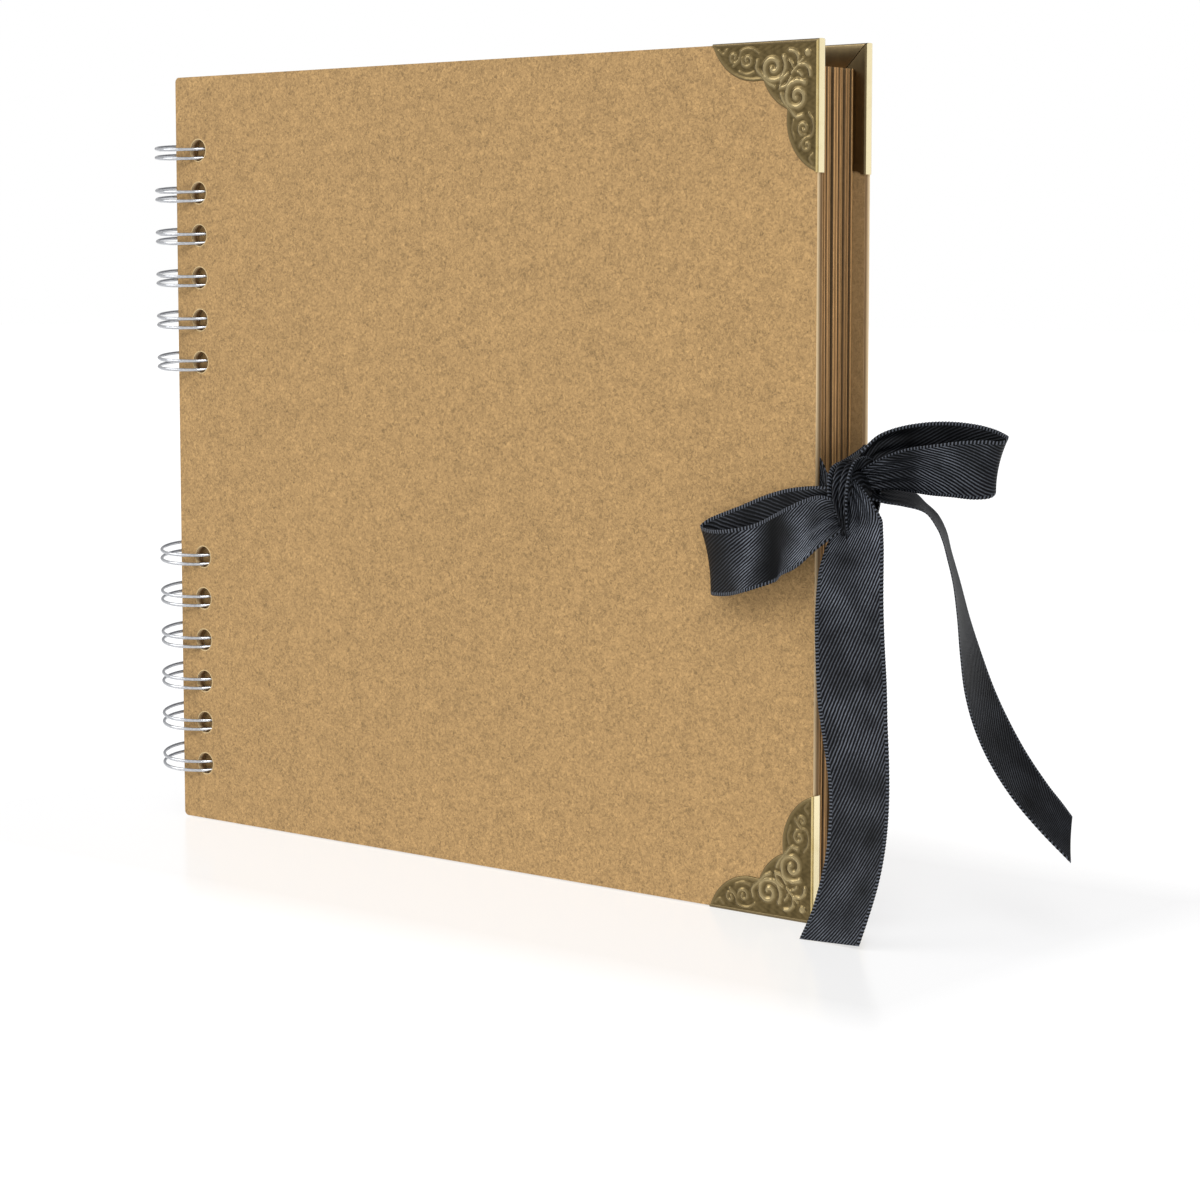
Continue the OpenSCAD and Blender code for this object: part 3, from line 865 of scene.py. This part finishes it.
KNOT_BAND = [
    ((132.0, -14.2, 112.5), (126.0, -14.2, 112.5)),
    ((132.3, -15.6, 117.0), (126.0, -15.6, 116.4)),
    ((132.3, -20.0, 119.3), (125.8, -20.2, 118.6)),
    ((132.4, -24.8, 118.6), (125.8, -25.8, 117.6)),
    ((133.0, -28.2, 115.4), (127.0, -29.2, 114.0)),
    ((133.4, -30.0, 111.0), (128.4, -30.6, 109.8)),
    ((133.6, -30.8, 106.8), (130.8, -31.2, 106.6)),
    ((133.2, -30.2, 103.8), (131.4, -30.4, 104.2)),
    ((132.2, -27.6, 101.6), (129.4, -27.6, 102.0)),
    ((131.6, -22.5, 100.8), (126.6, -22.5, 101.4)),
    ((131.9, -17.2, 103.5), (125.8, -17.2, 103.8)),
    ((132.0, -14.5, 108.0), (125.9, -14.5, 108.0)),
]
FRONT_LEAD = [
    ((104.2, -20.3, 122.0), (104.2, -20.3, 103.0)),
    ((116.0, -20.3, 122.0), (116.0, -20.3, 103.0)),
    ((118.2, -20.3, 119.4), (118.2, -20.3, 104.0)),
    ((119.8, -20.9, 116.6), (119.8, -20.7, 105.6)),
    ((122.6, -22.6, 114.2), (122.6, -22.3, 107.0)),
    ((126.4, -24.4, 112.4), (126.4, -24.2, 108.4)),
]
BACK_LEAD = [
    ((104.2, -0.86, 122.0), (104.2, -0.86, 103.0)),
    ((117.4, -0.86, 122.0), (117.4, -0.86, 103.0)),
    ((119.4, -1.9, 122.4), (119.4, -1.9, 103.4)),
    ((120.3, -5.0, 121.9), (120.3, -5.0, 104.6)),
    ((120.4, -10.0, 120.3), (120.5, -10.0, 106.6)),
    ((120.7, -15.0, 118.9), (120.9, -15.0, 108.0)),
    ((121.1, -19.0, 117.6), (121.3, -19.0, 109.0)),
]


# How strongly a sheen is painted into the satin's colour, station by station
LEFT_LOOP_PAINTED_SHEEN = [0.3, 0.4, 0.7, 0.95, 1.0, 0.50, 0.0, 0.25, 0.75, 0.25, 0.12, 0.08, 0.08] + [0.22] * 8
RIGHT_LOOP_PAINTED_SHEEN = [0.4, 0.8, 0.6, 0.30, 0.70, 0.60, 0.45, 0.30, 0.20] + [0.15] * 8
LEFT_TAIL_PAINTED_SHEEN = [0.3, 0.5, 0.7, 0.8, 0.9, 1.0, 0.9, 0.8, 0.6, 0.5]
LEFT_TAIL_PAINTED_SHEEN += [0.55, 0.55, 0.5, 0.45, 0.4, 0.4, 0.4, 0.45, 0.5]


def build_bow():
    # The knot's core: a puckered lump that the band goes round
    turn = np.linspace(0, 2 * np.pi, 72, endpoint=False)
    rise = np.linspace(-np.pi / 2, np.pi / 2, 46)[1:-1]
    centre, size = np.array([129.0, -22.0, 110.2]), np.array([3.9, 6.6, 8.0])
    rings = []
    for e in rise:
        pucker = 1 + 0.05 * np.sin(turn * 9 + 3 * e) * np.cos(e)
        rings.append(np.c_[np.cos(e) * np.cos(turn) * pucker, np.cos(e) * np.sin(turn) * pucker,
                           np.full(len(turn), np.sin(e))] * size + centre)
    points = np.concatenate(rings)
    faces = [tuple(f) for f in grid_faces(len(rings), 72, close_columns=True)]
    faces += [tuple(range(72)), tuple(range(len(points) - 72, len(points)))]
    weave = (points - centre)[:, [2, 0, 1]] * (1, 1, 0) + (0, 9.5, 0.2)
    core = outward(make("bow_core", points, faces, black_satin, weave=weave))
    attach(core, "front_cover")
    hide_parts("bow_knot")
    front, back = "front_cover", "back_cover"
    ribbon("bow_knot_band", KNOT_BAND + KNOT_BAND[:1], 0.30, front, ["bow_knot"],
           pleats=3, lift=-1.0, gather=1.6)
    ribbon("bow_left_loop_satin", LEFT_LOOP, LEFT_LOOP_PAINTED_SHEEN, front, ["bow_left_loop"],
           lift=-1.0, swell=0.8)
    ribbon("bow_right_loop_satin", RIGHT_LOOP, RIGHT_LOOP_PAINTED_SHEEN, front, ["bow_right_loop"],
           swell=0.8)
    ribbon("bow_left_tail_satin", LEFT_TAIL, LEFT_TAIL_PAINTED_SHEEN, front, ["bow_left_tail"],
           swell=0.6)
    ribbon("bow_right_tail_satin", RIGHT_TAIL, 0.18, front, ["bow_right_tail"], swell=0.5)
    ribbon("front_lead_satin", FRONT_LEAD, 0.25, front, ["front_ribbon_lead"])
    ribbon("back_lead_satin", BACK_LEAD, 0.15, back, ["back_ribbon_lead"])


build_bow()


# ------------------------------------------------------------------ floor, light and camera


def build_stage():
    """A pale studio floor, a little polished round the album."""
    floor_z = -0.4
    reach = 6000
    fades_from, fades_over, most = 100.0, 40.0, 0.22
    corners = ((-reach, -reach), (reach, -reach), (reach, reach), (-reach, reach))
    points = [(x, y, floor_z) for x, y in corners]
    m = Nodes("studio_floor")
    m.tree.nodes.remove(m.shader)
    diffuse, gloss = m.add("ShaderNodeBsdfDiffuse"), m.add("ShaderNodeBsdfGlossy")
    glow = m.add("ShaderNodeEmission")
    diffuse.inputs[0].default_value = (0.30, 0.30, 0.30, 1)
    glow.inputs[0].default_value = (1, 1, 1, 1)
    glow.inputs[1].default_value = 0.82
    gloss.inputs[0].default_value = (1, 1, 1, 1)
    gloss.inputs["Roughness"].default_value = 0.20
    # The polish shows only close to the album: away is the distance from its footprint, in millimetres
    place = m.split(m.place)
    past_side = m.math("SUBTRACT", m.math("ABSOLUTE", m.math("MULTIPLY", place[0], 1000.0)), FORE_X)
    past_face = m.math("ABSOLUTE", m.math("SUBTRACT", m.math("MULTIPLY", place[1], 1000.0), MID_Y))
    away = m.math("MAXIMUM", past_side, m.math("SUBTRACT", past_face, (BACK_Y - FRONT_Y) / 2))
    polish = m.math("DIVIDE", m.math("SUBTRACT", fades_from, away), fades_over, clamp=True)
    lit, final = m.add("ShaderNodeAddShader"), m.add("ShaderNodeMixShader")
    m.link(diffuse.outputs[0], lit.inputs[0])
    m.link(glow.outputs[0], lit.inputs[1])
    m.link(m.math("MULTIPLY", polish, most), final.inputs[0])
    m.link(lit.outputs[0], final.inputs[1])
    m.link(gloss.outputs[0], final.inputs[2])
    m.link(final.outputs[0], m.out.inputs["Surface"])
    floor = make("studio_floor", points, [(0, 1, 2, 3)], m.material, False)


def build_world():
    """Soft light, strongest from the front, with a white backdrop low behind the album. The camera sees
    white."""
    world = bpy.data.worlds.new("studio")
    scene.world = world
    world.use_nodes = True
    tree = world.node_tree
    tree.nodes.clear()
    out = tree.nodes.new("ShaderNodeOutputWorld")
    coords = tree.nodes.new("ShaderNodeTexCoord")
    towards = tree.nodes.new("ShaderNodeVectorMath")
    towards.operation = "DOT_PRODUCT"
    towards.inputs[1].default_value = Vector((-0.42, -0.80, 0.43)).normalized()
    tree.links.new(coords.outputs["Generated"], towards.inputs[0])
    ramp = tree.nodes.new("ShaderNodeValToRGB")
    ramp.color_ramp.elements[0].color = (0.09, 0.09, 0.10, 1)
    ramp.color_ramp.elements[1].color = (1.0, 1.0, 1.0, 1)
    extra = ramp.color_ramp.elements.new(0.5)
    extra.color = (0.42, 0.42, 0.43, 1)
    half = tree.nodes.new("ShaderNodeMath")
    half.operation = "MULTIPLY_ADD"
    half.inputs[1].default_value, half.inputs[2].default_value = 0.5, 0.5
    tree.links.new(towards.outputs["Value"], half.inputs[0])
    tree.links.new(half.outputs[0], ramp.inputs[0])
    # A white backdrop stands low behind the album
    behind = tree.nodes.new("ShaderNodeVectorMath")
    behind.operation = "DOT_PRODUCT"
    behind.inputs[1].default_value = Vector((0.25, 0.97, 0.0)).normalized()
    tree.links.new(coords.outputs["Generated"], behind.inputs[0])
    level = tree.nodes.new("ShaderNodeSeparateXYZ")
    tree.links.new(coords.outputs["Generated"], level.inputs[0])
    wide, high = tree.nodes.new("ShaderNodeMapRange"), tree.nodes.new("ShaderNodeMapRange")
    for node, source, span in ((wide, behind.outputs["Value"], (0.30, 0.55, 0.0, 1.0)),
                               (high, level.outputs[2], (0.12, 0.24, 1.0, 0.0))):
        tree.links.new(source, node.inputs[0])
        for k, value in enumerate(span):
            node.inputs[k + 1].default_value = value
    card = tree.nodes.new("ShaderNodeMath")
    card.operation = "MULTIPLY"
    tree.links.new(wide.outputs[0], card.inputs[0])
    tree.links.new(high.outputs[0], card.inputs[1])
    lit = tree.nodes.new("ShaderNodeMix")
    lit.data_type = "RGBA"
    tree.links.new(card.outputs[0], lit.inputs[0])
    tree.links.new(ramp.outputs[0], lit.inputs[6])
    lit.inputs[7].default_value = (0.87, 0.87, 0.87, 1)
    soft, plain = tree.nodes.new("ShaderNodeBackground"), tree.nodes.new("ShaderNodeBackground")
    soft.inputs[1].default_value = 1.15
    plain.inputs[0].default_value = (1, 1, 1, 1)
    tree.links.new(lit.outputs[2], soft.inputs[0])
    rays = tree.nodes.new("ShaderNodeLightPath")
    pick = tree.nodes.new("ShaderNodeMixShader")
    tree.links.new(rays.outputs["Is Camera Ray"], pick.inputs[0])
    tree.links.new(soft.outputs[0], pick.inputs[1])
    tree.links.new(plain.outputs[0], pick.inputs[2])
    tree.links.new(pick.outputs[0], out.inputs[0])


def build_lights():
    for name, energy, turn, angle in (("key", 0.80, (58, 0, -52), 35), ("fill", 0.88, (50, 0, 32), 20)):
        data = bpy.data.lights.new(name, "SUN")
        data.energy, data.angle = energy, math.radians(angle)
        light = bpy.data.objects.new(name, data)
        light.rotation_euler = [math.radians(t) for t in turn]
        scene.collection.objects.link(light)


def build_camera():
    data = bpy.data.cameras.new("camera")
    data.lens, data.sensor_width = 87.4, 36
    data.shift_y = -0.05
    data.clip_start, data.clip_end = 0.05, 50
    camera = bpy.data.objects.new("camera", data)
    camera.location = (0.5426, -0.6287, 0.1685)
    camera.rotation_euler = (math.radians(90 - 5.37), 0, math.radians(39.24))
    scene.collection.objects.link(camera)
    scene.camera = camera


build_stage()
build_world()
build_lights()
build_camera()
scene.view_settings.view_transform = "Standard"
scene.view_settings.look = "None"
